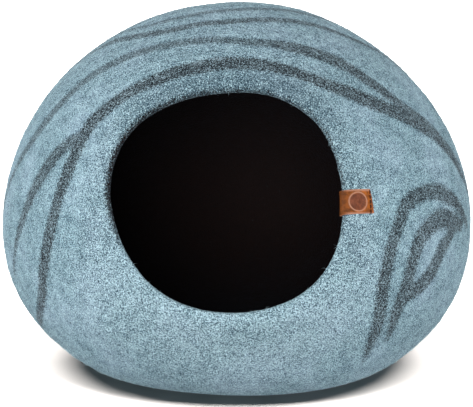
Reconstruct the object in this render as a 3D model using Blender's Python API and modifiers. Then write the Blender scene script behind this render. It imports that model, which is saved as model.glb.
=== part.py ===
"""Felt cat cave.

A hollow cave felted from wool in one seamless piece, with a flat floor and a round entrance in its
front, and a short leather strip folded over the entrance rim.

Metres, +Z up. The floor is at z = 0 under the middle of the cave, and the front faces -Y.
"""

import math

import bmesh
import bpy
from mathutils import Quaternion, Vector

# The felted form, a squat round body that is fuller below its girth than above it
RADIUS = 0.200
HEIGHT = 0.309
GIRTH_HEIGHT = 0.122
BASE_RADIUS = 0.122
CROWN_LEAN = -0.0128            # sideways drift of the form for each metre of height
UPPER_HEIGHT_POWER = 1.92
UPPER_RADIUS_POWER = 2.05
LOWER_HEIGHT_POWER = 2.15
LOWER_RADIUS_POWER = 2.60
FLOOR_BLEND = 0.006             # height over which the side turns into the flat floor
WALL = 0.008

# Slow unevenness of handmade felt: height of each wave, its length from crest to crest, the way it
# runs through the cave, and where it starts
WAVES = (
    {"height": 0.0005, "length": 0.210, "run": (0.80, 0.36, 0.48), "start": 0.4},
    {"height": 0.0004, "length": 0.130, "run": (-0.48, 0.60, 0.64), "start": 2.1},
    {"height": 0.0003, "length": 0.080, "run": (0.36, -0.80, 0.48), "start": 4.0},
)

# The entrance, a hand-cut round hole that looks forwards, a little up and a little to -X
ENTRANCE_YAW = math.radians(-3.0)
ENTRANCE_PITCH = math.radians(18.0)
ENTRANCE_RADIUS = 0.0900
ENTRANCE_SHIFT_RIGHT = 0.0020
ENTRANCE_SHIFT_UP = -0.0060
# How far the cut strays from round: the lobes around the hole, and the size of each
ENTRANCE_LOBES = (
    {"lobes": 2, "cosine": 0.0020, "sine": -0.0008},
    {"lobes": 3, "cosine": -0.0017, "sine": 0.0011},
    {"lobes": 4, "cosine": -0.0014, "sine": -0.0013},
)
LIP_WIDTH = 0.020               # band beside the rim that rolls inwards
LIP_DIP = 0.006                 # how far the rim itself lies inside the form
LIP_ROUND = 0.0036              # rounding of the wall's cut edge

# The leather strip, folded over the rim on the +X side
TAB_WIDTH = 0.0195
TAB_FLAP = 0.026                # length of each flap, from the fold to its free end
TAB_THICKNESS = 0.0018
TAB_AROUND = math.radians(-0.8)  # place around the entrance, from +X towards the crown
TAB_TURN = math.radians(10.0)   # turn of the strip away from straight out of the entrance
TAB_GAP = 0.0007                # clearance between leather and felt

# Mesh fineness
SIDES_AROUND = 64
RINGS = 30
LIP_RINGS = 4
TAB_STEPS_FLAP = 5
TAB_STEPS_FOLD = 8
TAB_STEPS_ACROSS = 4

FELT_COLOUR = (0.262, 0.402, 0.468, 1.0)
LEATHER_COLOUR = (0.515, 0.170, 0.053, 1.0)

# Values worked out from the driving dimensions
CENTRE = Vector((0.0, 0.0, GIRTH_HEIGHT))
BASE_RISE = 1.0 - (BASE_RADIUS / RADIUS) ** LOWER_RADIUS_POWER
LOWER_DEPTH = GIRTH_HEIGHT / BASE_RISE ** (1.0 / LOWER_HEIGHT_POWER)
ENTRANCE_AXIS = Vector((
    math.sin(ENTRANCE_YAW) * math.cos(ENTRANCE_PITCH),
    -math.cos(ENTRANCE_YAW) * math.cos(ENTRANCE_PITCH),
    math.sin(ENTRANCE_PITCH),
))
ENTRANCE_RIGHT = Vector((math.cos(ENTRANCE_YAW), math.sin(ENTRANCE_YAW), 0.0))
ENTRANCE_UP = ENTRANCE_RIGHT.cross(-ENTRANCE_AXIS)


def form_excess(point):
    """Below zero inside the felted form, zero on its face and above zero outside it."""
    height = point.z - GIRTH_HEIGHT
    radius = math.hypot(point.x - CROWN_LEAN * height, point.y)
    if height >= 0.0:
        rise = (height / (HEIGHT - GIRTH_HEIGHT)) ** UPPER_HEIGHT_POWER
        spread = (radius / RADIUS) ** UPPER_RADIUS_POWER
    else:
        rise = (-height / LOWER_DEPTH) ** LOWER_HEIGHT_POWER
        spread = (radius / RADIUS) ** LOWER_RADIUS_POWER
    return rise + spread - 1.0


def reach(start, direction):
    """The point where a straight line from inside the form comes out of its face."""
    near = 0.0
    far = 2.0 * RADIUS
    while far - near > 1e-7:
        middle = 0.5 * (near + far)
        if form_excess(start + middle * direction) < 0.0:
            near = middle
        else:
            far = middle
    return start + near * direction


def unevenness(point):
    """How far the handmade face stands out from the plain form at a point."""
    return sum(
        wave["height"]
        * math.sin(2.0 * math.pi * point.dot(Vector(wave["run"])) / wave["length"] + wave["start"])
        for wave in WAVES
    )


def settled(height):
    """A height above the floor, after the underside has flattened against it."""
    if height <= -FLOOR_BLEND:
        return 0.0
    if height >= FLOOR_BLEND:
        return height
    return (height + FLOOR_BLEND) ** 2 / (4.0 * FLOOR_BLEND)


def rim_point(around):
    """The plain form's point on the entrance rim, at an angle from +X towards the crown."""
    radius = ENTRANCE_RADIUS + sum(
        lobe["cosine"] * math.cos(lobe["lobes"] * around)
        + lobe["sine"] * math.sin(lobe["lobes"] * around)
        for lobe in ENTRANCE_LOBES
    )
    right = ENTRANCE_SHIFT_RIGHT + radius * math.cos(around)
    up = ENTRANCE_SHIFT_UP + radius * math.sin(around)
    return reach(CENTRE + right * ENTRANCE_RIGHT + up * ENTRANCE_UP, ENTRANCE_AXIS)


def wall_point(around, out):
    """The felt's outer face, a distance out from the rim towards the back of the cave."""
    rim = rim_point(around) - CENTRE
    hinge = ENTRANCE_AXIS.cross(rim).normalized()
    direction = (Quaternion(hinge, out / rim.length) @ rim).normalized()
    point = reach(CENTRE, direction)
    point += unevenness(point) * direction
    if out < LIP_WIDTH:
        point -= LIP_DIP * (1.0 - out / LIP_WIDTH) ** 2 * ENTRANCE_AXIS
    point.z = settled(point.z)
    return point


def back_distance(around):
    """The distance from the rim to the point of the back that faces the entrance."""
    rim = rim_point(around) - CENTRE
    return rim.length * (math.pi - rim.angle(ENTRANCE_AXIS))


def make_material(name, colour, roughness):
    material = bpy.data.materials.new(name)
    material.use_nodes = True
    shader = material.node_tree.nodes["Principled BSDF"]
    shader.inputs["Base Color"].default_value = colour
    shader.inputs["Roughness"].default_value = roughness
    shader.inputs["Metallic"].default_value = 0.0
    return material


def make_object(name, mesh, material, collection):
    mesh.materials.append(material)
    mesh.shade_smooth()
    part = bpy.data.objects.new(name, mesh)
    collection.objects.link(part)
    return part


def make_felt_shell(collection):
    """A sphere's net of faces, opened at one pole for the entrance and laid over the form."""
    net = bmesh.new()
    bmesh.ops.create_uvsphere(net, u_segments=SIDES_AROUND, v_segments=RINGS, radius=1.0)
    pole = max(net.verts, key=lambda vert: vert.co.z)
    bmesh.ops.delete(net, geom=[pole], context="VERTS")
    for vert in net.verts:
        around = math.atan2(vert.co.y, vert.co.x)
        ring = round(math.acos(max(-1.0, min(1.0, vert.co.z))) / math.pi * RINGS) - 1
        if ring <= LIP_RINGS:
            out = LIP_WIDTH * ring / LIP_RINGS
        else:
            share = (ring - LIP_RINGS) / (RINGS - 1 - LIP_RINGS)
            out = LIP_WIDTH + share * (back_distance(around) - LIP_WIDTH)
        vert.co = wall_point(around, out)
    mesh = bpy.data.meshes.new("felt_shell")
    net.to_mesh(mesh)
    net.free()
    shell = make_object("felt_shell", mesh, make_material("wool felt", FELT_COLOUR, 0.95), collection)
    wall = shell.modifiers.new("wall", "SOLIDIFY")
    wall.thickness = WALL
    wall.offset = -1.0
    wall.use_even_offset = True
    lip = shell.modifiers.new("lip", "BEVEL")
    lip.limit_method = "ANGLE"
    lip.angle_limit = math.radians(60.0)
    lip.width = LIP_ROUND
    lip.segments = 3
    return shell


def strip_section():
    """The strip's inner face in section, as pairs of distance from the rim and depth in the wall."""
    core = 0.5 * WALL
    clear = core + TAB_GAP
    section = []
    for step in range(TAB_STEPS_FLAP):
        section.append((TAB_FLAP - (TAB_FLAP - core) * step / TAB_STEPS_FLAP, -TAB_GAP))
    for step in range(TAB_STEPS_FOLD + 1):
        turn = math.pi * step / TAB_STEPS_FOLD
        section.append((core - clear * math.sin(turn), core - clear * math.cos(turn)))
    for step in range(1, TAB_STEPS_FLAP + 1):
        section.append((core + (TAB_FLAP - core) * step / TAB_STEPS_FLAP, WALL + TAB_GAP))
    return section


def strip_point(out, depth, across):
    """A point of the strip, laid against the felt, its free ends cut square to its turned run."""
    slope = math.tan(TAB_TURN)
    spread = ENTRANCE_RADIUS + out
    around = TAB_AROUND + (across + slope * out) / spread
    out -= slope * across * out / TAB_FLAP
    step = 0.001
    square = max(out, 0.5 * LIP_WIDTH / LIP_RINGS)
    outwards = wall_point(around, square + step) - wall_point(around, square - step)
    sideways = wall_point(around + step / spread, square) - wall_point(around - step / spread, square)
    normal = outwards.cross(sideways).normalized()
    if normal.dot(ENTRANCE_AXIS) < 0.0:
        normal.negate()
    return wall_point(around, out) - depth * normal


def make_leather_tab(collection):
    """A flat strip of faces, folded over the rim and given its thickness away from the felt."""
    section = strip_section()
    strip = bmesh.new()
    bmesh.ops.create_grid(
        strip, x_segments=len(section) - 1, y_segments=TAB_STEPS_ACROSS, size=1.0)
    for vert in strip.verts:
        out, depth = section[round(0.5 * (vert.co.x + 1.0) * (len(section) - 1))]
        across = 0.5 * TAB_WIDTH * vert.co.y
        vert.co = strip_point(out, depth, across)
    mesh = bpy.data.meshes.new("leather_tab")
    strip.to_mesh(mesh)
    strip.free()
    tab = make_object(
        "leather_tab", mesh, make_material("tan leather", LEATHER_COLOUR, 0.5), collection)
    hide = tab.modifiers.new("hide", "SOLIDIFY")
    hide.thickness = TAB_THICKNESS
    hide.offset = -1.0
    return tab


def main():
    for leftover in list(bpy.data.objects):
        bpy.data.objects.remove(leftover)
    collection = bpy.data.collections.new("felt_cat_cave")
    bpy.context.scene.collection.children.link(collection)
    make_felt_shell(collection)
    make_leather_tab(collection)


main()
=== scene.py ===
"""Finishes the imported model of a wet-felted wool cat cave: the felt body with its dark wool
lines, the stray fibres on it, the leather tab on the rim with its stitches, and the stage."""

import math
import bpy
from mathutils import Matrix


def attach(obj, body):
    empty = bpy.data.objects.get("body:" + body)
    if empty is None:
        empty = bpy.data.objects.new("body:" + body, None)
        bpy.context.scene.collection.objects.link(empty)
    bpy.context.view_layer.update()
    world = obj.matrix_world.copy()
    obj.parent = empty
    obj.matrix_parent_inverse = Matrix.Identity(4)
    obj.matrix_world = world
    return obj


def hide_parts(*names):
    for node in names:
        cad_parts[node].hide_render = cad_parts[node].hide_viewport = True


bl_info = {
    "name": "Felted Cat Cave",
    "version": (1, 0, 0),
    "blender": (4, 5, 0),
    "location": "3D View > Sidebar > Cat Cave",
    "description": "Models and finishes a wet-felted wool cat cave around its packed solids",
    "category": "Add Mesh",
}

import bpy
import numpy as np
from bpy.props import FloatProperty, FloatVectorProperty, IntProperty, PointerProperty
from mathutils import Matrix, Vector
from mathutils.bvhtree import BVHTree
from mathutils.kdtree import KDTree

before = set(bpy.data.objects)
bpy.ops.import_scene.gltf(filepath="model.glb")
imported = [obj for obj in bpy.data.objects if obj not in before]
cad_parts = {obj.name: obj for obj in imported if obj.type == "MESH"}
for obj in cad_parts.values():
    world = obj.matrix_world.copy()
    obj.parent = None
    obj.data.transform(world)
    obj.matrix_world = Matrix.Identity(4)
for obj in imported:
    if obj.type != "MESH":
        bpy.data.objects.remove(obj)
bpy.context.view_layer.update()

# The entrance's own axis, from the cave's middle out to the front, and the two directions
# across it. Places on the wall are given round this axis, from +X towards the crown, and out
# from it, both in degrees as the cave's middle sees them.
MIDDLE = Vector((0.0, 0.0, 0.122))
ENTRANCE_YAW = math.radians(-3.0)
ENTRANCE_PITCH = math.radians(18.0)
ENTRANCE_AXIS = Vector(
    (
        math.sin(ENTRANCE_YAW) * math.cos(ENTRANCE_PITCH),
        -math.cos(ENTRANCE_YAW) * math.cos(ENTRANCE_PITCH),
        math.sin(ENTRANCE_PITCH),
    )
)
ENTRANCE_RIGHT = Vector((math.cos(ENTRANCE_YAW), math.sin(ENTRANCE_YAW), 0.0))
ENTRANCE_UP = ENTRANCE_RIGHT.cross(-ENTRANCE_AXIS)

# Each line of dark wool: how dark it is laid, and the places that its smooth course goes
# through, as (round, out, half width in millimetres).
WOOL_LINES = (
    # The long arc close round the entrance, from low on the left to low on the right.
    (1.06, ((211, 76, 3.0), (208, 62, 5.0), (203, 55, 6.2), (194, 48, 6.4), (183, 43, 5.6),
           (169, 40, 6.4), (153, 39, 6.8), (136, 36, 6.2), (116, 33, 7.2), (93, 33, 7.4),
           (70, 35, 6.4), (52, 38, 6.2), (42, 42, 7.2), (34, 47, 7.6), (26, 56, 7.0),
           (19, 65, 5.0), (10, 77, 3.6), (2, 92, 2.4))),
    # The branch that leaves it on the left.
    (0.95, ((157, 39, 5.0), (164, 45, 6.4), (171, 49, 7.0), (179, 54, 6.0), (186, 59, 4.4),
            (191, 64, 3.0), (197, 71, 1.6))),
    # The second arc, which is laid darker past the crown, runs into the first one on the right
    # and leaves it again beside it.
    (0.80, ((186, 84, 2.6), (169, 67, 4.8), (156, 59, 6.8), (142, 54, 5.4), (127, 49, 5.6),
            (108, 44, 5.0), (86, 42, 4.8), (74, 43.5, 5.2), (66, 45, 5.4), (60, 47, 3.0))),
    (1.0, ((84, 42, 2.0), (76, 43, 4.4), (66, 45, 7.2), (51, 49, 7.2), (40, 52, 6.6),
           (31, 56, 6.0), (24, 63, 5.0), (17, 71, 4.0), (8, 84, 2.6))),
    # The third and fourth arcs, across the crown.
    (0.95, ((150, 86, 2.6), (130, 68, 4.4), (116, 55, 5.0), (100, 52, 5.2), (84, 54, 5.2),
            (68, 60, 4.6), (54, 67, 3.6), (42, 80, 2.6))),
    (0.75, ((126, 74, 2.6), (115, 62, 3.4), (98, 61, 4.8), (80, 65, 5.0), (66, 73, 4.2),
            (55, 90, 2.6))),
    # The hook right of the entrance.
    (1.0, ((-49, 60, 1.6), (-44, 55, 5.0), (-40, 52, 5.8), (-36, 49, 6.2), (-31, 46, 6.4),
           (-25, 44, 6.4), (-18, 43, 6.2), (-13, 43, 6.0), (-7, 44, 5.8), (-1, 46, 6.0),
           (3, 52, 6.2), (4, 59, 6.6), (3, 65, 6.4), (1, 71, 5.2), (-2, 78, 3.0))),
    # The drop inside the hook: its long side, then its short one.
    (1.0, ((-40, 59, 2.6), (-36, 56, 5.0), (-33, 54, 6.6), (-29, 53, 7.2), (-25, 52, 7.2),
           (-19, 51, 7.0), (-14, 51, 7.2), (-10, 52, 7.4), (-6, 55, 7.8), (-3, 60, 8.4),
           (-3, 66, 8.0), (-3, 72, 4.4))),
    (1.0, ((-5, 66, 5.4), (-9, 63, 6.6), (-12, 61, 7.4), (-16, 60, 7.8), (-19, 59, 7.8),
           (-23, 57, 7.4), (-26, 55, 6.6), (-29, 53, 5.0))),
    # The back, which carries three plain arcs.
    (0.85, ((172, 98, 2.6), (145, 98, 4.6), (112, 92, 5.4), (82, 93, 5.4), (52, 100, 4.6),
            (32, 112, 2.6))),
    (0.9, ((192, 104, 2.6), (168, 122, 5.0), (128, 124, 5.8), (88, 118, 5.4), (48, 128, 5.2),
           (16, 120, 2.6))),
    (0.9, ((214, 112, 2.6), (196, 142, 5.4), (140, 152, 5.8), (80, 146, 5.4), (20, 148, 5.8),
           (-14, 128, 5.0), (-22, 104, 2.6))),
)
# The swells of the hand-shaped wall: (x, y, z) as seen from the middle, how far each one
# spreads in degrees, and its height in millimetres.
SWELLS = (
    ((0.22, 0.0, 0.98), 18, 2.8),
    ((-0.70, 0.0, 0.71), 22, -1.7),
    ((-1.0, 0.0, 0.0), 22, 0.9),
    ((0.90, 0.0, 0.43), 15, 1.5),
    ((0.92, 0.0, -0.39), 14, 2.2),
)
WALL_RADIUS = 0.19  # about how far the wall is from the middle
# The front spreads where it stands on the floor: how far, how high up the wall, how far right
# of the middle it spreads most, and in how many degrees to either side of there it fades.
FRONT_SPREAD = 0.0085
SPREAD_HEIGHT = 0.055
SPREAD_MIDDLE = 0.02
SPREAD_ANGLE = 42
CLEAR_OF_LINES = 40.0  # mm, what the inner face holds as its distance to the nearest line
# The unevenness that hand felting leaves: each kind's share of the set height, and its width.
UNEVENNESS = (("waves", 1.0, 0.030), ("lumps", 0.45, 0.011))
# How near the tab and the floor no stray fibre starts.
FIBRES_OFF_TAB = 0.009
FIBRES_OFF_FLOOR = 0.006
# On the tab's outer flap, from its middle.
FOLD = -0.014  # out, where the strip turns over the rim
SPOT_MIDDLE = (-0.0017, 0.0001)  # out and across
RING_OUTSIDE = 0.0006  # from the spot's edge to the middle of the raised ring round it
RING_WIDTH = 0.0005
STITCHES_FROM_END = 0.0031  # from the row of stitches to the flap's free end
# The suns: share of the set strength, azimuth from straight ahead, elevation and width of the
# disc, in degrees. The two low ones stand for what white paper throws back up.
CAVE_LIGHTS = {
    "key": (1.0, -6, 8, 24),
    "left": (0.58, -84, 14, 30),
    "right": (0.38, 84, 14, 30),
    "front": (0.28, 0, 6, 170),
    "back": (0.40, 180, 25, 170),
    "rear": (0.40, 180, 10, 50),
    "low right": (0.16, 84, -28, 40),
    "low rear": (0.20, 180, -28, 40),
}
PAPER_LIGHTS = {
    "paper left": (1.0, -84, 57, 30),
    "paper right": (1.0, 84, 55, 30),
    "paper front": (1.0, 0, 61, 16),
}
CAMERA_DOWN = math.radians(10)  # how far down the camera looks
# What the body's mesh holds about the lines at each point.
LINE_MARKS = ("wool_line", "line_darkness", "line_across", "line_along")


def linear(hex_colour):
    """Turn an sRGB hex value such as "8CAAB6" into linear red, green and blue."""
    channels = [int(hex_colour[i : i + 2], 16) / 255 for i in (0, 2, 4)]
    return tuple(c / 12.92 if c <= 0.04045 else ((c + 0.055) / 1.055) ** 2.4 for c in channels)


def colour_setting(name, description, hex_colour):
    """A colour that the user can change, stored linear."""
    return FloatVectorProperty(
        name=name, description=description, subtype="COLOR", size=3, min=0.0, max=1.0,
        default=linear(hex_colour),
    )


def length_setting(name, description, metres):
    """A length that the user can change."""
    return FloatProperty(
        name=name, description=description, subtype="DISTANCE", unit="LENGTH", min=0.0,
        precision=5, default=metres,
    )


class FeltCaveWool(bpy.types.PropertyGroup):
    """Sizes and colours of the felt and its fibres."""

    blue: colour_setting("Blue wool", "Main colour of the outer felt", "789AA7")
    pale: colour_setting("Pale fibres", "Lightest fibres of the outer felt", "BAD6DF")
    deep: colour_setting("Deep blue", "Pores between the fibres", "243B48")
    lilac: colour_setting("Lilac cast", "Second dye tone of the outer felt", "8195AB")
    line: colour_setting("Line wool", "Main colour of the laid lines", "8499A3")
    line_deep: colour_setting("Line shadow", "Darkest fibres of the lines", "03070B")
    # Near-black painted shade for the inner face, which is dark only from shade.
    painted_inner_shade: colour_setting("Inner wool", "Colour of the inner face", "090302")
    grain: length_setting("Grain", "Width of the felt's small curls", 0.0009)
    # How far the painted shade round the rim reaches out from the rim.
    tangle: length_setting("Tangle", "How far fibres wander from the grain", 0.0022)
    painted_rim_shade_reach: length_setting("Rim wool", "How far the inner wool comes round the rim", 0.0095)
    uneven: length_setting("Unevenness", "Height of the hand-felted waves", 0.0009)
    fibre_length: length_setting("Fibre length", "Longest stray fibre", 0.0062)
    fibre_width: length_setting("Fibre width", "Thickness of a stray fibre at its root", 0.0003)
    fibre_count: IntProperty(
        name="Fibres", description="How many stray fibres lie on the wall", min=0, default=16000
    )
    seed: IntProperty(name="Seed", description="Lays the stray fibres another way", default=11)


class FeltCaveTab(bpy.types.PropertyGroup):
    """Sizes and colours of the leather tab."""

    leather: colour_setting("Leather", "Colour of the tab's grain side", "7E4313")
    raw: colour_setting("Raw edge", "Colour of the cut edges", "A67A65")
    pressed: colour_setting("Pressed spot", "Colour of the burnished round spot", "633623")
    thread: colour_setting("Thread", "Colour of the stitches", "361608")
    spot_radius: length_setting("Spot radius", "Radius of the pressed spot", 0.0067)
    spot_depth: length_setting("Spot depth", "How deep the spot is pressed", 0.00035)
    stitch_length: length_setting("Stitch", "Length of one stitch", 0.0034)
    stitch_pitch: length_setting("Stitch pitch", "From one stitch to the next", 0.0038)
    thread_width: length_setting("Thread width", "Thickness of the thread", 0.0012)
    stitches: IntProperty(name="Stitches", description="How many in the row", min=1, default=5)


class FeltCaveStage(bpy.types.PropertyGroup):
    """Floor, lights and camera."""

    floor: colour_setting("Paper", "Pale grey of the paper, which is lit to white", "A09C99")
    key: FloatProperty(name="Key light", description="Strength of the main light", default=3.4)
    paper: FloatProperty(
        name="Paper lights", description="Strength of the three lights on the floor", default=12.5
    )
    sky: colour_setting("Sky colour", "Colour of the light from all round", "FBFCFF")
    fill: FloatProperty(
        name="Sky", description="Strength of the light from all round", default=0.06
    )
    camera_height: length_setting("Camera aim", "Height that the camera looks at", 0.1376)
    camera_distance: length_setting("Camera distance", "From the camera to its aim", 1.8)
    lens: FloatProperty(
        name="Lens", description="Focal length in millimetres", subtype="DISTANCE_CAMERA",
        default=159.8,
    )


def only(*objects):
    """Select these objects alone and make the first one active."""
    bpy.ops.object.select_all(action="DESELECT")
    for item in objects:
        item.select_set(True)
    bpy.context.view_layer.objects.active = objects[0] if objects else None


def copy_node(node, name):
    """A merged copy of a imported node's mesh, as a new piece."""
    piece = bpy.data.objects.new(name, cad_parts[node].data.copy())
    piece.data.name = name
    piece.data.materials.clear()
    bpy.context.scene.collection.objects.link(piece)
    only(piece)
    bpy.ops.object.mode_set(mode="EDIT")
    bpy.ops.mesh.select_all(action="SELECT")
    bpy.ops.mesh.remove_doubles(threshold=0.00001)
    bpy.ops.mesh.tris_convert_to_quads(face_threshold=1.0, shape_threshold=1.0)
    bpy.ops.mesh.customdata_custom_splitnormals_clear()
    bpy.ops.object.mode_set(mode="OBJECT")
    return piece


def use_modifier(piece, name, kind, **settings):
    """Add a modifier with its settings and apply it."""
    modifier = piece.modifiers.new(name, kind)
    for setting, value in settings.items():
        setattr(modifier, setting, value)
    only(piece)
    bpy.ops.object.modifier_apply(modifier=name)


def wear(piece, material):
    """Give a piece its one material and smooth shading."""
    piece.data.materials.clear()
    piece.data.materials.append(material)
    only(piece)
    bpy.ops.object.shade_smooth()


def points_of(mesh):
    """Vertex places and normals as arrays."""
    places = np.empty(len(mesh.vertices) * 3)
    normals = np.empty(len(mesh.vertices) * 3)
    mesh.vertices.foreach_get("co", places)
    mesh.vertices.foreach_get("normal", normals)
    return places.reshape(-1, 3), normals.reshape(-1, 3)


def set_value(mesh, name, values):
    """Store one number for each vertex under a name."""
    layer = mesh.attributes.get(name) or mesh.attributes.new(name, "FLOAT", "POINT")
    layer.data.foreach_set("value", np.asarray(values, np.float32))


def smooth_step(low, high, values):
    """0 at low, 1 at high, with a soft run between."""
    share = np.clip((values - low) / (high - low), 0.0, 1.0)
    return share * share * (3.0 - 2.0 * share)


def unit(ways):
    """Each row's way, 1 long."""
    return ways / np.linalg.norm(ways, axis=1)[:, None]


def seen_from_middle(places):
    """The way to each place from the cave's middle, 1 long."""
    return unit(places - np.array(MIDDLE))


def tree_of(mesh):
    """A mesh's faces, ready for rays and nearest points."""
    return BVHTree.FromPolygons(
        [v.co for v in mesh.vertices], [tuple(p.vertices) for p in mesh.polygons]
    )


def on_wall(shell, place):
    """The point of the outer face at a place given as (round, out)."""
    round_by, out_by = (math.radians(x) for x in place)
    across = ENTRANCE_RIGHT * math.cos(round_by) + ENTRANCE_UP * math.sin(round_by)
    direction = ENTRANCE_AXIS * math.cos(out_by) + across * math.sin(out_by)
    hit = shell.ray_cast(MIDDLE + direction * 0.5, -direction)[0]
    if hit is None:
        raise RuntimeError(f"no wall at {place}")
    return hit


def smooth_course(stops, steps=12):
    """Points of a smooth curve through the stops."""
    stops = np.array([stops[0], *stops, stops[-1]], float)
    course = []
    for a, b, c, d in zip(stops, stops[1:], stops[2:], stops[3:]):
        for t in np.arange(steps) / steps:
            course.append(
                0.5 * (2 * b + (c - a) * t + (2 * a - 5 * b + 4 * c - d) * t**2
                       + (3 * b - a - 3 * c + d) * t**3)
            )
    course.append(stops[-1])
    return course


def nearest_of(points, places):
    """For each place, the number of the nearest point."""
    finder = KDTree(len(points))
    for number, point in enumerate(points):
        finder.insert(point, number)
    finder.balance()
    return np.array([finder.find(place)[1] for place in places])


def places_in_lines(places):
    """For each point, millimetres to the edge of the nearest line, below 0 inside it, how dark
    that line is laid, and where the point lies in it: across from its middle, and along it."""
    shell = tree_of(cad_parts["felt_shell"].data)
    found = {name: np.zeros(len(places)) for name in LINE_MARKS}
    found["wool_line"] += CLEAR_OF_LINES
    for darkness, stops in WOOL_LINES:
        stops = np.array(smooth_course(stops))
        course = np.array([on_wall(shell, stop[:2]) for stop in stops])
        way = unit(np.gradient(course, axis=0))
        side = unit(np.cross(way, course - np.array(MIDDLE)))
        steps = np.linalg.norm(np.diff(course, axis=0), axis=1)
        run = np.concatenate([[0.0], np.cumsum(steps)])
        near = nearest_of(course, places)
        apart = places - course[near]
        gap = np.linalg.norm(apart, axis=1) * 1000 - stops[near, 2]
        closer = gap < found["wool_line"]
        across = (apart * side[near]).sum(axis=1) * 1000
        along = (run[near] + (apart * way[near]).sum(axis=1)) * 1000
        for name, value in zip(LINE_MARKS, (gap, darkness, across, along)):
            found[name] = np.where(closer, value, found[name])
    return found


def add(tree, kind, inputs=None, **settings):
    """Add a node with its settings. Each input gets a value, or a link from an output."""
    node = tree.nodes.new(kind)
    for name, value in settings.items():
        setattr(node, name, value)
    for key, value in (inputs or {}).items():
        if isinstance(value, bpy.types.NodeSocket):
            tree.links.new(value, node.inputs[key])
        else:
            node.inputs[key].default_value = value
    return node


def new_material(name):
    """A material with an empty node tree."""
    material = bpy.data.materials.new(name)
    material.use_nodes = True
    material.node_tree.nodes.clear()
    return material


def opaque(colour):
    """A colour's three numbers with full opacity."""
    return (*colour, 1.0)


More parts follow.
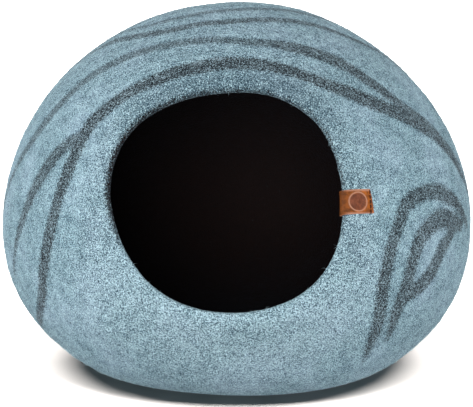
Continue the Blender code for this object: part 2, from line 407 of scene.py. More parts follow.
def wool_felt(wool):
    """Wet-felted merino and coarse wool: dyed fibres matted by hand with soap and water, so the
    face is a matte tangle of curls, with paler hairs on top, darker pores between them and soft
    cloudy tones where the layers of wool are thicker. The lines are dark wool laid on before
    felting, so they have fuzzy edges and blue fibres show through."""
    material = new_material("Wet-felted wool, grey blue with slate lines")
    tree = material.node_tree
    place = add(tree, "ShaderNodeTexCoord").outputs["Object"]
    inside, combed, from_axis, nap, painted_entrance_shading, to_line, darkness, across, along = (
        add(tree, "ShaderNodeAttribute", attribute_name=name).outputs["Fac"]
        for name in ("inside", "combed", "from_axis", "nap", "painted_entrance_shading", *LINE_MARKS)
    )
    # A wool fibre is about 0.03 mm thick, too fine to show, so the curls are drawn 0.9 mm wide
    # and the hairs between them 2 mm apart. The places are shifted by a noise three curls wide,
    # so that the grain tangles.
    drift = add(tree, "ShaderNodeTexNoise",
                {"Vector": place, "Scale": 0.35 / wool.grain, "Detail": 2.0})
    tangled = add(tree, "ShaderNodeVectorMath",
                  {0: drift.outputs["Color"], 1: (wool.tangle,) * 3, 2: place},
                  operation="MULTIPLY_ADD").outputs[0]
    curls = add(tree, "ShaderNodeTexNoise",
                {"Vector": tangled, "Scale": 1.0 / wool.grain, "Detail": 3.0,
                 "Roughness": 0.65}).outputs["Fac"]
    hairs = add(tree, "ShaderNodeTexVoronoi",
                {"Vector": tangled, "Scale": 0.42 / wool.grain},
                feature="DISTANCE_TO_EDGE").outputs["Distance"]
    hair = add(tree, "ShaderNodeMapRange",
               {0: hairs, 1: 0.02, 2: 0.14, 3: 1.0, 4: 0.0}).outputs[0]
    # Clouds of tone about 9 mm and 45 mm across, as the wool was laid in uneven tufts.
    tufts, layers = (
        add(tree, "ShaderNodeTexNoise",
            {"Vector": place, "Scale": scale, "Detail": detail}).outputs["Fac"]
        for scale, detail in ((110.0, 3.0), (22.0, 2.0))
    )
    # Over the crown the long fibres lie combed round the entrance, in streaks about 1 mm wide
    # and 5 mm long.
    combing = add(tree, "ShaderNodeMath", {0: from_axis, 1: 0.8},
                  operation="MULTIPLY").outputs[0]
    combing = add(tree, "ShaderNodeCombineXYZ", {0: combing}).outputs[0]
    combing = add(tree, "ShaderNodeVectorMath", {0: place, 1: (200.0,) * 3, 2: combing},
                  operation="MULTIPLY_ADD").outputs[0]
    streaks = add(tree, "ShaderNodeTexNoise",
                  {"Vector": combing, "Scale": 1.0, "Detail": 2.0}).outputs["Fac"]
    streaks = add(tree, "ShaderNodeMath", {0: streaks, 1: 0.5}, operation="SUBTRACT").outputs[0]
    streaks = add(tree, "ShaderNodeMath", {0: streaks, 1: combed},
                  operation="MULTIPLY").outputs[0]
    # There, and where the nap stands up round the entrance, pores and fibres differ more.
    standing = add(tree, "ShaderNodeMath", {0: combed, 1: 0.7, 2: nap},
                   operation="MULTIPLY_ADD").outputs[0]
    raised = add(tree, "ShaderNodeMath", {0: curls, 1: 0.53}, operation="SUBTRACT").outputs[0]
    raised = add(tree, "ShaderNodeMath", {0: raised, 1: standing},
                 operation="MULTIPLY").outputs[0]
    # The tone is all of these together, lowered by painted shade above the entrance and raised by
    # painted light below it.
    tone = curls
    for part, share in (
        (tufts, 0.18), (layers, 0.08), (streaks, 0.32), (raised, 0.8), (painted_entrance_shading, -0.12),
    ):
        tone = add(tree, "ShaderNodeMath", {0: part, 1: share, 2: tone},
                   operation="MULTIPLY_ADD").outputs[0]
    # Low in tone are the pores, and high in tone the pale fibres. The dye took unevenly, so
    # broad patches lean to lilac.
    pores, cast, lit = (
        add(tree, "ShaderNodeMapRange", {0: part, 1: low, 2: high, 3: 0.0, 4: top}).outputs[0]
        for part, low, high, top in (
            (tone, 0.53, 0.67, 1.0), (layers, 0.45, 0.65, 0.6), (tone, 0.63, 0.81, 0.95),
        )
    )
    cast = add(tree, "ShaderNodeMath", {0: cast, 1: pores}, operation="MULTIPLY").outputs[0]
    lit = add(tree, "ShaderNodeMath", {0: hair, 1: 0.22, 2: lit},
              operation="MULTIPLY_ADD", use_clamp=True).outputs[0]
    # The lines: each is a roving of strands about 2 mm wide that run along it. Its edge is
    # frayed by the curls over about 3 mm, and blue fibres show between its own.
    across, along = (
        add(tree, "ShaderNodeMath", {0: part, 1: scale}, operation="MULTIPLY").outputs[0]
        for part, scale in ((across, 0.45), (along, 0.04))
    )
    course = add(tree, "ShaderNodeCombineXYZ", {0: across, 1: along}).outputs[0]
    strands = add(tree, "ShaderNodeTexNoise",
                  {"Vector": course, "Scale": 1.0, "Detail": 2.0}).outputs["Fac"]
    fray = add(tree, "ShaderNodeTexNoise",
               {"Vector": tangled, "Scale": 0.7 / wool.grain, "Detail": 3.0,
                "Roughness": 0.7}).outputs["Fac"]
    frayed, specks, inward = (
        add(tree, "ShaderNodeMath", {0: fray, 1: share, 2: part},
            operation="MULTIPLY_ADD").outputs[0]
        for share, part in ((14.0, to_line), (1.3, tone), (1.6, inside))
    )
    cover, bundled, blue_hairs, specks, inward = (
        add(tree, "ShaderNodeMapRange",
            {0: part, 1: low, 2: high, 3: bottom, 4: top}).outputs[0]
        for part, low, high, bottom, top in (
            (frayed, 8.6, 5.6, 0.0, 1.0), (strands, 0.36, 0.54, 0.84, 1.0),
            (curls, 0.5, 0.68, 1.0, 0.6), (specks, 1.28, 1.45, 0.0, 1.0),
            (inward, 1.13, 1.45, 0.0, 1.0),
        )
    )
    for share in (darkness, bundled, blue_hairs):
        cover = add(tree, "ShaderNodeMath", {0: cover, 1: share},
                    operation="MULTIPLY").outputs[0]
    # The inner face is painted near-black as painted shade of the cave's dark inside, and shows
    # from just inside the rim.
    painted_inner_shade_pale = [c * 1.9 for c in wool.painted_inner_shade]
    slate, inner = (
        add(tree, "ShaderNodeMix", {0: part, 6: opaque(dark), 7: opaque(light)},
            data_type="RGBA").outputs[2]
        for part, dark, light in (
            (specks, wool.line_deep, wool.line), (pores, wool.painted_inner_shade, painted_inner_shade_pale),
        )
    )
    colour = opaque(wool.deep)
    for share, over in (
        (pores, opaque(wool.blue)), (cast, opaque(wool.lilac)), (lit, opaque(wool.pale)),
        (cover, slate), (inward, inner),
    ):
        colour = add(tree, "ShaderNodeMix", {0: share, 6: colour, 7: over},
                     data_type="RGBA").outputs[2]
    height = curls
    for part, share in ((hair, 0.35), (tufts, 0.8)):
        height = add(tree, "ShaderNodeMath", {0: part, 1: share, 2: height},
                     operation="MULTIPLY_ADD").outputs[0]
    bump = add(tree, "ShaderNodeBump",
               {"Strength": 0.8, "Distance": 0.0010, "Height": height}).outputs[0]
    roughness = add(tree, "ShaderNodeMapRange",
                    {0: curls, 1: 0.3, 2: 0.7, 3: 1.0, 4: 0.88}).outputs[0]
    shader = add(tree, "ShaderNodeBsdfPrincipled",
                 {"Base Color": colour, "Roughness": roughness, "IOR": 1.54,
                  "Specular IOR Level": 0.1, "Sheen Weight": 0.12, "Sheen Roughness": 0.5,
                  "Sheen Tint": opaque(wool.lilac), "Normal": bump}).outputs[0]
    add(tree, "ShaderNodeOutputMaterial", {"Surface": shader})
    return material


def stray_wool(wool):
    """Loose wool hairs that the felting left standing off the face: the same dyed wool, paler
    because each one catches the light by itself, and dark where it comes from a line."""
    material = new_material("Loose wool hairs")
    tree = material.node_tree
    line, tint = (
        add(tree, "ShaderNodeAttribute", attribute_name=name).outputs["Fac"]
        for name in ("line_share", "tint")
    )
    blue, slate = (
        add(tree, "ShaderNodeMix", {0: tint, 6: opaque(dark), 7: opaque(light)},
            data_type="RGBA").outputs[2]
        for dark, light in ((wool.blue, wool.pale), (wool.line_deep, wool.line))
    )
    colour = add(tree, "ShaderNodeMix", {0: line, 6: blue, 7: slate},
                 data_type="RGBA").outputs[2]
    shader = add(tree, "ShaderNodeBsdfPrincipled",
                 {"Base Color": colour, "Roughness": 0.8, "IOR": 1.54,
                  "Specular IOR Level": 0.2, "Sheen Weight": 0.2,
                  "Sheen Roughness": 0.5}).outputs[0]
    add(tree, "ShaderNodeOutputMaterial", {"Surface": shader})
    return material


def tanned_leather(tab):
    """Vegetable-tanned cowhide, cut from the sheet and hot pressed: a low sheen on the fine
    pebbled grain, mottled cognac tone, painted shade towards the fold where the strip turns into
    the entrance, a dark burnished spot where the die was hot, a painted highlight on the raised
    ring round it, and pale suede-like cut edges."""
    material = new_material("Vegetable-tanned leather, cognac")
    tree = material.node_tree
    place = add(tree, "ShaderNodeTexCoord").outputs["Object"]
    spot, ring, cut, painted_fold_shade = (
        add(tree, "ShaderNodeAttribute", attribute_name=name).outputs["Fac"]
        for name in ("spot", "ring", "cut_edge", "painted_fold_shade")
    )
    # The pebbles of such hide are about 0.3 mm wide, too fine to show, so they are drawn 0.7 mm
    # wide. The mottle is about 4 mm across.
    pebble = add(tree, "ShaderNodeTexVoronoi",
                 {"Vector": place, "Scale": 1400.0}, feature="SMOOTH_F1").outputs["Distance"]
    mottle = add(tree, "ShaderNodeTexNoise",
                 {"Vector": place, "Scale": 260.0, "Detail": 4.0, "Roughness": 0.6}
                 ).outputs["Fac"]
    tone = add(tree, "ShaderNodeMapRange", {0: mottle, 1: 0.38, 2: 0.62}).outputs[0]
    # The darkest copy is the painted shade towards the fold.
    dark, fold_shade_colour = (opaque([c * share for c in tab.leather]) for share in (0.6, 0.15))
    light = opaque([min(1.0, c * 1.5) for c in tab.leather])
    spot_dark, spot_light = (opaque([c * share for c in tab.pressed]) for share in (0.7, 1.3))
    pressed = add(tree, "ShaderNodeMix", {0: tone, 6: spot_dark, 7: spot_light},
                  data_type="RGBA").outputs[2]
    # Over the mottled tone go painted shade towards the fold, a painted highlight on the raised
    # ring in the raw edges' colour, the pressed spot and the pale cut edges.
    colour = dark
    for share, over in (
        (tone, light), (painted_fold_shade, fold_shade_colour), (ring, opaque(tab.raw)), (spot, pressed),
        (cut, opaque(tab.raw)),
    ):
        colour = add(tree, "ShaderNodeMix", {0: share, 6: colour, 7: over},
                     data_type="RGBA").outputs[2]
    height = add(tree, "ShaderNodeMath", {0: mottle, 1: 0.6, 2: pebble},
                 operation="MULTIPLY_ADD").outputs[0]
    bump = add(tree, "ShaderNodeBump",
               {"Strength": 0.6, "Distance": 0.0004, "Height": height}).outputs[0]
    roughness = add(tree, "ShaderNodeMapRange",
                    {0: spot, 1: 0.0, 2: 1.0, 3: 0.6, 4: 0.42}).outputs[0]
    shader = add(tree, "ShaderNodeBsdfPrincipled",
                 {"Base Color": colour, "Roughness": roughness, "IOR": 1.5,
                  "Specular IOR Level": 0.14, "Normal": bump}).outputs[0]
    add(tree, "ShaderNodeOutputMaterial", {"Surface": shader})
    return material


def waxed_thread(tab):
    """Waxed polyester sewing thread: dark, slightly glossy, with a twist across it. The strands
    of a real one are about 0.3 mm wide, too fine to show, so they are drawn 0.9 mm wide."""
    material = new_material("Waxed sewing thread, dark brown")
    tree = material.node_tree
    place = add(tree, "ShaderNodeTexCoord").outputs["Object"]
    twist = add(tree, "ShaderNodeTexWave",
                {"Vector": place, "Scale": 700.0, "Distortion": 1.0},
                bands_direction="DIAGONAL").outputs["Fac"]
    dark, light = (opaque([c * share for c in tab.thread]) for share in (0.6, 1.5))
    colour = add(tree, "ShaderNodeMix", {0: twist, 6: dark, 7: light},
                 data_type="RGBA").outputs[2]
    bump = add(tree, "ShaderNodeBump",
               {"Strength": 0.5, "Distance": 0.0001, "Height": twist}).outputs[0]
    shader = add(tree, "ShaderNodeBsdfPrincipled",
                 {"Base Color": colour, "Roughness": 0.6, "IOR": 1.5,
                  "Specular IOR Level": 0.15, "Normal": bump}).outputs[0]
    add(tree, "ShaderNodeOutputMaterial", {"Surface": shader})
    return material


def background_paper(stage):
    """Matte background paper, pale grey in itself and lit to white: even, with only a trace of
    tone."""
    material = new_material("Matte background paper")
    tree = material.node_tree
    place = add(tree, "ShaderNodeTexCoord").outputs["Object"]
    cloud = add(tree, "ShaderNodeTexNoise",
                {"Vector": place, "Scale": 3.0, "Detail": 2.0}).outputs["Fac"]
    shaded = [c * 0.985 for c in stage.floor]
    colour = add(tree, "ShaderNodeMix", {0: cloud, 6: opaque(shaded), 7: opaque(stage.floor)},
                 data_type="RGBA").outputs[2]
    shader = add(tree, "ShaderNodeBsdfPrincipled",
                 {"Base Color": colour, "Roughness": 1.0,
                  "Specular IOR Level": 0.0}).outputs[0]
    add(tree, "ShaderNodeOutputMaterial", {"Surface": shader})
    return material


class FELTCAVE_OT_body(bpy.types.Operator):
    """Shape the felt body over its packed shell and mark its dark lines and inner face"""

    bl_idname = "felt_cave.body"
    bl_label = "Felt body"

    def execute(self, context):
        wool = context.scene.felt_cave_wool
        body = copy_node("felt_shell", "felt_body")
        use_modifier(body, "rounded", "SUBSURF", levels=2, render_levels=2)
        self.settle(body)
        self.ruffle(body, wool)
        self.mark(body, wool)
        wear(body, wool_felt(wool))
        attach(body, "root")
        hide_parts("felt_shell")
        return {"FINISHED"}

    def settle(self, body):
        """Give the outer face the small swells of a cave shaped by hand over a ball, and let its
        front spread where it stands on the floor."""
        places, normals = points_of(body.data)
        outward = seen_from_middle(places)
        outer = smooth_step(-0.1, 0.4, (outward * normals).sum(axis=1))
        for direction, spread, height in SWELLS:
            way = np.array(direction) / np.linalg.norm(direction)
            apart = np.degrees(np.arccos(np.clip(outward @ way, -1.0, 1.0)))
            swell = height / 1000 * np.exp(-((apart / spread) ** 2)) * outer
            places += outward * swell[:, None]
        x, y, z = places.T
        radius = np.hypot(x, y) + 1e-6
        turned = np.degrees(np.arctan2(x - SPREAD_MIDDLE, -y))
        spread = FRONT_SPREAD * smooth_step(SPREAD_HEIGHT, 0.0, z)
        spread *= smooth_step(0.05, 0.12, radius)  # the middle of the underside stays
        spread *= np.exp(-((turned / SPREAD_ANGLE) ** 2)) * outer
        places[:, 0] += spread * x / radius
        places[:, 1] += spread * y / radius
        body.data.vertices.foreach_set("co", places.ravel())
        body.data.update()

    def ruffle(self, body, wool):
        """Raise and lower the wall a little, as hand felting leaves it, except where it stands
        on the floor and under the tab."""
        places, _ = points_of(body.data)
        tab = tree_of(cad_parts["leather_tab"].data)
        near = np.array([tab.find_nearest(Vector(p), 0.05)[3] or 0.05 for p in places])
        loose = smooth_step(0.003, 0.025, places[:, 2]) * smooth_step(0.004, 0.02, near)
        group = body.vertex_groups.new(name="loose_wall")
        for level in range(1, 11):
            chosen = np.flatnonzero(np.round(loose * 10) == level)
            group.add([int(i) for i in chosen], level / 10, "REPLACE")
        for name, share, width in UNEVENNESS:
            clouds = bpy.data.textures.new(name, "CLOUDS")
            clouds.noise_scale = width
            clouds.noise_depth = 1
            use_modifier(
                body, name, "DISPLACE", texture=clouds, texture_coords="LOCAL",
                strength=share * wool.uneven, mid_level=0.5, vertex_group="loose_wall",
            )
            bpy.data.textures.remove(clouds)
        body.vertex_groups.clear()

    def mark(self, body, wool):
        """Store what the felt's material reads at each point: where the lines are, where the
        painted shade of the inner face and round the rim goes, where painted shade and light go
        round the entrance, and how the fibres lie round the entrance and over the crown."""
        places, normals = points_of(body.data)
        outward = seen_from_middle(places)
        facing = (outward * normals).sum(axis=1)
        inside = 1.0 - smooth_step(-0.65, -0.1, facing)
        marks = places_in_lines(places)
        marks["wool_line"] = np.where(inside > 0.3, CLEAR_OF_LINES, marks["wool_line"])
        ahead, right, up = (
            outward @ np.array(way) for way in (ENTRANCE_AXIS, ENTRANCE_RIGHT, ENTRANCE_UP)
        )
        reach = np.hypot(right, up) + 1e-6
        high = up / reach  # 1 straight above the entrance and -1 straight below it
        rim = places[(np.abs(facing) < 0.15) & (ahead > 0.6)]
        away = np.linalg.norm(places - rim[nearest_of(rim, places)], axis=1) * 1000
        # Painted shade round the rim, where the lip turns in away from the light: the near-black
        # of the inner face comes over it, most at the left and the top and not at all at the
        # sill.
        painted_rim_shade = smooth_step(-0.95, -0.1, high)
        painted_rim_shade *= 0.8 + 0.3 * np.maximum(-right, 0.0) / reach
        painted_rim_shade *= smooth_step(wool.painted_rim_shade_reach * 1000, 0.0, away)
        marks["inside"] = np.maximum(inside, 0.62 * painted_rim_shade)
        # Over the crown the fibres lie combed round the entrance's axis.
        marks["combed"] = smooth_step(0.45, 0.9, outward[:, 2])
        marks["from_axis"] = np.arctan2(reach, ahead) * WALL_RADIUS * 1000
        # The nap is rubbed up round the entrance, over 30 mm above it and 105 mm at the sill.
        nap_reach = 30.0 + 75.0 * smooth_step(0.0, -0.8, high)
        nap = 1.0 - smooth_step(0.15, 1.0, away / nap_reach)
        marks["nap"] = nap * (0.85 + 0.5 * np.abs(up) / reach)
        # Painted shade within 24 mm above the entrance, where the wall turns down into it, and
        # painted light below it as far as the nap reaches.
        painted_entrance_shading = smooth_step(24.0, 8.0, away) * smooth_step(0.3, 0.95, high)
        marks["painted_entrance_shading"] = painted_entrance_shading * (facing > 0) - 0.4 * nap * smooth_step(-0.2, -0.9, high)
        for name, values in marks.items():
            set_value(body.data, name, values)


class FELTCAVE_OT_fibres(bpy.types.Operator):
    """Lay fine stray wool fibres over the outer face"""

    bl_idname = "felt_cave.fibres"
    bl_label = "Stray fibres"

    def execute(self, context):
        wool = context.scene.felt_cave_wool
        body = context.scene.objects["felt_body"]
        hair = self.one_hair(wool)
        hair_places, _ = points_of(hair.data)
        hair_faces = [tuple(p.vertices) for p in hair.data.polygons]
        random = np.random.default_rng(wool.seed)
        roots, normals, lines = self.roots(body, wool, random)
        count = len(roots)
        turn = random.uniform(0, 2 * math.pi, count)
        lift = np.radians(random.uniform(4, 34, count))
        length = wool.fibre_length * random.uniform(0.35, 1.0, count)
        curl = random.uniform(-0.9, 0.9, count)
        side = unit(np.cross(normals, random.normal(size=(count, 3))))
        other = np.cross(normals, side)
        along = side * np.cos(turn)[:, None] + other * np.sin(turn)[:, None]
        across = np.cross(normals, along)
        # Each hair starts just under the face, rises, bends over and curls to one side.
        x, y, z = hair_places.T
        reach = x[None, :] * length[:, None]
        rise = np.sin(lift)[:, None] * reach * (1.25 - x[None, :])
        bend = curl[:, None] * reach * x[None, :]
        laid = (
            roots[:, None, :]
            + along[:, None, :] * (reach * np.cos(lift)[:, None])[:, :, None]
            + across[:, None, :] * (bend + y[None, :])[:, :, None]
            + normals[:, None, :] * (rise + z[None, :] - 0.25 * wool.fibre_width)[:, :, None]
        )
        step = len(hair_places)
        faces = [
            tuple(corner + first for corner in face)
            for first in range(0, step * count, step)
            for face in hair_faces
        ]
        mesh = bpy.data.meshes.new("wool_fibres")
        mesh.from_pydata(laid.reshape(-1, 3), [], faces)
        fibres = bpy.data.objects.new("wool_fibres", mesh)
        context.scene.collection.objects.link(fibres)
        bpy.data.objects.remove(hair)
        set_value(mesh, "line_share", np.repeat(lines, step))
        set_value(mesh, "tint", np.repeat(random.uniform(0.0, 1.0, count), step))
        wear(fibres, stray_wool(wool))
        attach(fibres, "root")
        return {"FINISHED"}

    def one_hair(self, wool):
        """One hair, 1 long from its root, as a slim three-sided spike in two lengths. A real one
        is about 0.03 mm thick, so it is made ten times as thick to show."""
        bpy.ops.object.select_all(action="DESELECT")
        bpy.ops.mesh.primitive_cone_add(
            vertices=3, radius1=wool.fibre_width / 2, radius2=0.0, depth=1.0,
            location=(0.5, 0.0, 0.0), rotation=(0.0, math.pi / 2, 0.0),
        )
        hair = bpy.context.active_object
        bpy.ops.object.transform_apply(location=True, rotation=True, scale=True)
        bpy.ops.object.mode_set(mode="EDIT")
        bpy.ops.mesh.select_all(action="SELECT")
        bpy.ops.mesh.bisect(plane_co=(0.5, 0, 0), plane_no=(1, 0, 0))
        bpy.ops.object.mode_set(mode="OBJECT")
        return hair

    def roots(self, body, wool, random):
        """Where the hairs start: points spread evenly over the outer face, their normals, and
        how far each is in a line. None is near the tab or the floor."""
        mesh = body.data
        mesh.calc_loop_triangles()
        corners = np.empty(len(mesh.loop_triangles) * 3, np.int64)
        mesh.loop_triangles.foreach_get("vertices", corners)
        corners = corners.reshape(-1, 3)
        places, normals = points_of(mesh)
        values = {}
        for name in ("inside", "wool_line", "line_darkness"):
            values[name] = np.empty(len(places), np.float32)
            mesh.attributes[name].data.foreach_get("value", values[name])
        a, b, c = (places[corners[:, i]] for i in range(3))
        size = np.linalg.norm(np.cross(b - a, c - a), axis=1) / 2
        middles = (a + b + c) / 3
        size[values["inside"][corners].max(axis=1) > 0.5] = 0.0
        size[middles[:, 2] < FIBRES_OFF_FLOOR] = 0.0
        tab = tree_of(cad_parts["leather_tab"].data)
        close = [tab.find_nearest(Vector(m), FIBRES_OFF_TAB)[0] is not None for m in middles]
        size[np.array(close)] = 0.0
        chosen = random.choice(len(size), wool.fibre_count, p=size / size.sum())
        u, v = random.random((2, wool.fibre_count, 1))
        u, v = np.where(u + v > 1, 1 - u, u), np.where(u + v > 1, 1 - v, v)

        def at(values_at_points):
            p, q, r = (values_at_points[corners[chosen, i]] for i in range(3))
            return p + u * (q - p) + v * (r - p)

        gap, dark = (at(values[name][:, None])[:, 0] for name in ("wool_line", "line_darkness"))
        return at(places), unit(at(normals)), (1.0 - smooth_step(-0.8, 0.6, gap)) * dark


class FlapAxes:
    """The outer flap of the tab: its middle, its way out from the rim, its way across, and its
    way off the wall."""

    def __init__(self):
        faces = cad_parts["leather_tab"].data.polygons
        centres, normals, areas = (
            np.array([getattr(face, fact) for face in faces])
            for fact in ("center", "normal", "area")
        )
        outward = seen_from_middle(centres)
        # The inner flap faces outward too, on the felt's far side, so it is left out.
        depth = centres @ outward.mean(axis=0)
        facing = (outward * normals).sum(axis=1) > 0.8
        front = facing & (depth > depth[facing].max() - 0.007)
        share = (areas[front] / areas[front].sum())[:, None]
        self.middle = (centres[front] * share).sum(axis=0)
        apart = centres[front] - self.middle
        spread = np.linalg.eigh(apart.T @ (apart * share))[1].T
        self.out = spread[2] * np.sign(spread[2] @ np.array(ENTRANCE_RIGHT))
        self.off = spread[0] * np.sign(spread[0] @ outward.mean(axis=0))
        self.across = np.cross(self.off, self.out)

    def of(self, places):
        """Points as distances out, across and off from the flap's middle."""
        return (places - self.middle) @ np.array([self.out, self.across, self.off]).T


class FELTCAVE_OT_tab(bpy.types.Operator):
    """Shape the folded leather tab with its pressed round spot and cut edges"""

    bl_idname = "felt_cave.tab"
    bl_label = "Leather tab"

    def execute(self, context):
        tab = context.scene.felt_cave_tab
        strip = copy_node("leather_tab", "tab_strip")
        use_modifier(strip, "worn edges", "BEVEL", width=0.00035, segments=2,
                     limit_method="ANGLE", angle_limit=math.radians(50))
        use_modifier(strip, "closer mesh", "SUBSURF", levels=3, render_levels=3)
        axes = FlapAxes()
        places, normals = points_of(strip.data)
        out, across, off = axes.of(places).T
        facing = normals @ axes.off
        from_middle = np.hypot(out - SPOT_MIDDLE[0], across - SPOT_MIDDLE[1])
        front = smooth_step(0.5, 0.8, facing) * (off > -0.004)
        spot = front * (1 - smooth_step(tab.spot_radius - 0.0004, tab.spot_radius + 0.0003,
                                        from_middle))
        # The ring round the spot is raised a little, and the material paints a highlight on it.
        from_ring = from_middle - tab.spot_radius - RING_OUTSIDE
        ring = np.exp(-((from_ring / RING_WIDTH) ** 2)) * front
        sunk = (0.3 * ring - spot) * tab.spot_depth
        places += axes.off * sunk[:, None]
        strip.data.vertices.foreach_set("co", places.ravel())
        # The cut edges are pale, and the face beside them is paler for about 2 mm.
        half = np.abs(across).max()
        sides = smooth_step(0.6, 0.85, np.abs(normals @ axes.across))
        pale_margin = 0.95 * smooth_step(half - 0.0024, half - 0.0006, np.abs(across))
        pale_margin *= smooth_step(FOLD, FOLD + 0.006, out)
        ends = smooth_step(0.6, 0.85, normals @ axes.out) * (out > 0.008)
        pale_end_margin = 0.4 * smooth_step(out.max() - 0.0014, out.max() - 0.0004, out)
        pale = np.maximum.reduce((sides, pale_margin, ends, pale_end_margin))
        # Towards the fold, where the strip turns into the entrance, painted shade darkens the
        # leather.
        painted_fold_shade = 0.6 * smooth_step(FOLD + 0.011, FOLD, out)
        for name, values in (
            ("spot", spot), ("ring", ring), ("painted_fold_shade", painted_fold_shade), ("cut_edge", pale),
        ):
            set_value(strip.data, name, values)
        wear(strip, tanned_leather(tab))
        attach(strip, "root")
        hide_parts("leather_tab")
        return {"FINISHED"}


class FELTCAVE_OT_stitches(bpy.types.Operator):
    """Sew a row of stitches across the tab's free end, on both flaps"""

    bl_idname = "felt_cave.stitches"
    bl_label = "Tab stitches"

    def execute(self, context):
        tab = context.scene.felt_cave_tab
        strip = context.scene.objects["tab_strip"]
        axes = FlapAxes()
        places, _ = points_of(strip.data)
        tree = tree_of(strip.data)
        row = axes.of(places)[:, 0].max() - STITCHES_FROM_END
        stitch = self.one_stitch(tab)
        sewn = []
        for number in range(tab.stitches):
            along = (number - (tab.stitches - 1) / 2) * tab.stitch_pitch
            spot = Vector(axes.middle + axes.out * row + axes.across * along)
            for side in (1, -1):
                away = Vector(axes.off) * side
                hit, normal, _, _ = tree.ray_cast(spot + away * 0.03, -away)
                if hit is None:
                    raise RuntimeError("a stitch misses the leather")
                run = Vector(axes.across)
                run = (run - normal * run.dot(normal)).normalized()
                turned = Matrix((run, normal.cross(run), normal)).transposed().to_4x4()
                copy = bpy.data.objects.new("stitch", stitch.data.copy())
                copy.data.transform(Matrix.Translation(hit) @ turned)
                context.scene.collection.objects.link(copy)
                sewn.append(copy)
        bpy.data.objects.remove(stitch)
        only(*sewn)
        bpy.ops.object.join()
        stitches = context.active_object
        stitches.name = "tab_stitches"
        wear(stitches, waxed_thread(tab))
        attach(stitches, "root")
        return {"FINISHED"}

    def one_stitch(self, tab):
        """One stitch along X on the leather at Z 0: a thread that arches up between its ends,
        which dive into their holes."""
        bpy.ops.object.select_all(action="DESELECT")
        bpy.ops.mesh.primitive_cylinder_add(
            vertices=10, radius=tab.thread_width / 2, depth=tab.stitch_length,
            rotation=(0.0, math.pi / 2, 0.0),
        )
        stitch = bpy.context.active_object
        bpy.ops.object.transform_apply(location=True, rotation=True, scale=True)
        half = tab.stitch_length / 2
        bpy.ops.object.mode_set(mode="EDIT")
        for cut in (-0.7, -0.35, 0.0, 0.35, 0.7):
            bpy.ops.mesh.select_all(action="SELECT")
            bpy.ops.mesh.bisect(plane_co=(cut * half, 0, 0), plane_no=(1, 0, 0))
        bpy.ops.object.mode_set(mode="OBJECT")
        for vertex in stitch.data.vertices:
            share = abs(vertex.co.x) / half
            slim = 1.0 - 0.35 * share**3
            vertex.co.y *= slim
            vertex.co.z = vertex.co.z * slim + tab.thread_width * (0.38 - 0.85 * share**4)
        use_modifier(stitch, "soft ends", "BEVEL", width=tab.thread_width * 0.18, segments=2,
                     limit_method="ANGLE", angle_limit=math.radians(50))
        return stitch


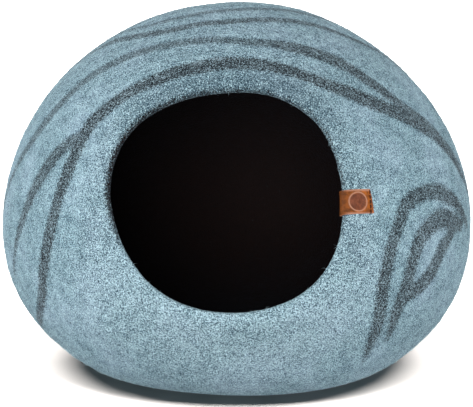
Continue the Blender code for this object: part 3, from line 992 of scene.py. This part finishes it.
class FELTCAVE_OT_stage(bpy.types.Operator):
    """Lay the paper floor and set the soft lights and the camera"""

    bl_idname = "felt_cave.stage"
    bl_label = "Floor, lights and camera"

    def execute(self, context):
        stage = context.scene.felt_cave_stage
        bpy.ops.object.select_all(action="DESELECT")
        bpy.ops.mesh.primitive_circle_add(vertices=64, radius=14.0, fill_type="TRIFAN")
        floor = context.active_object
        floor.name = "floor"
        floor.data.materials.append(background_paper(stage))
        # Its bounce is flagged off the cave, so that the bright paper doesn't light the wall.
        floor.visible_diffuse = False
        # The lights on the cave are flagged off the paper, and three high strong ones are
        # flagged off the cave, so that the paper is white up to a dark contact shadow.
        for lights, strength, state in (
            (CAVE_LIGHTS, stage.key, "EXCLUDE"), (PAPER_LIGHTS, stage.paper, "INCLUDE"),
        ):
            for name, (share, *course) in lights.items():
                light = self.light(name, strength * share, *course)
                self.receive(light, floor, state)
        world = bpy.data.worlds.new("white studio")
        world.use_nodes = True
        background = world.node_tree.nodes["Background"]
        background.inputs["Color"].default_value = opaque(stage.sky)
        background.inputs["Strength"].default_value = stage.fill
        context.scene.world = world
        context.scene.view_settings.view_transform = "Standard"
        context.scene.view_settings.look = "None"
        aim = Vector((0.0, 0.0, stage.camera_height))
        away = Vector((0.0, -math.cos(CAMERA_DOWN), math.sin(CAMERA_DOWN)))
        bpy.ops.object.camera_add(
            location=aim + away * stage.camera_distance,
            rotation=(math.pi / 2 - CAMERA_DOWN, 0, 0),
        )
        camera = context.active_object
        camera.name = "camera"
        camera.data.lens = stage.lens
        camera.data.sensor_width = 36.0
        context.scene.camera = camera
        return {"FINISHED"}

    def receive(self, light, floor, state):
        """Let a light fall on the floor alone, or on everything but the floor. One from below
        shines through the floor."""
        receivers = bpy.data.collections.new(f"lit by {light.name}")
        receivers.objects.link(floor)
        receivers.collection_objects[0].light_linking.link_state = state
        light.light_linking.receiver_collection = receivers
        if light.rotation_euler.x > math.pi / 2:
            light.light_linking.blocker_collection = receivers

    def light(self, name, energy, azimuth, elevation, spread):
        """A soft sun seen in that direction from the cave, 0 straight ahead of the entrance and
        positive to the right, with its disc spread degrees wide."""
        bpy.ops.object.light_add(
            type="SUN", rotation=(math.radians(90 - elevation), 0.0, math.radians(azimuth))
        )
        sun = bpy.context.active_object
        sun.name = name
        sun.data.energy = energy
        sun.data.angle = math.radians(spread)
        return sun


class FELTCAVE_PT_panel(bpy.types.Panel):
    """The cave's settings, with a button for each piece."""

    bl_idname = "FELTCAVE_PT_panel"
    bl_label = "Felted Cat Cave"
    bl_space_type = "VIEW_3D"
    bl_region_type = "UI"
    bl_category = "Cat Cave"

    def draw(self, context):
        for settings, operators in PARTS:
            box = self.layout.box()
            group = getattr(context.scene, settings)
            for name in group.bl_rna.properties.keys():
                if name not in ("rna_type", "name"):
                    box.prop(group, name)
            for operator in operators:
                box.operator(operator.bl_idname)


GROUPS = {
    "felt_cave_wool": FeltCaveWool,
    "felt_cave_tab": FeltCaveTab,
    "felt_cave_stage": FeltCaveStage,
}
PARTS = (
    ("felt_cave_wool", (FELTCAVE_OT_body, FELTCAVE_OT_fibres)),
    ("felt_cave_tab", (FELTCAVE_OT_tab, FELTCAVE_OT_stitches)),
    ("felt_cave_stage", (FELTCAVE_OT_stage,)),
)
CLASSES = (
    *GROUPS.values(),
    *(operator for _, operators in PARTS for operator in operators),
    FELTCAVE_PT_panel,
)


def register():
    """Make the settings, operators and panel known to Blender."""
    for item in CLASSES:
        bpy.utils.register_class(item)
    for name, group in GROUPS.items():
        setattr(bpy.types.Scene, name, PointerProperty(type=group))


def unregister():
    """Take them away again."""
    for name in GROUPS:
        delattr(bpy.types.Scene, name)
    for item in reversed(CLASSES):
        bpy.utils.unregister_class(item)


def main():
    """Make every piece in order."""
    register()
    bpy.ops.felt_cave.body()
    bpy.ops.felt_cave.fibres()
    bpy.ops.felt_cave.tab()
    bpy.ops.felt_cave.stitches()
    bpy.ops.felt_cave.stage()


if __name__ == "__main__":
    main()
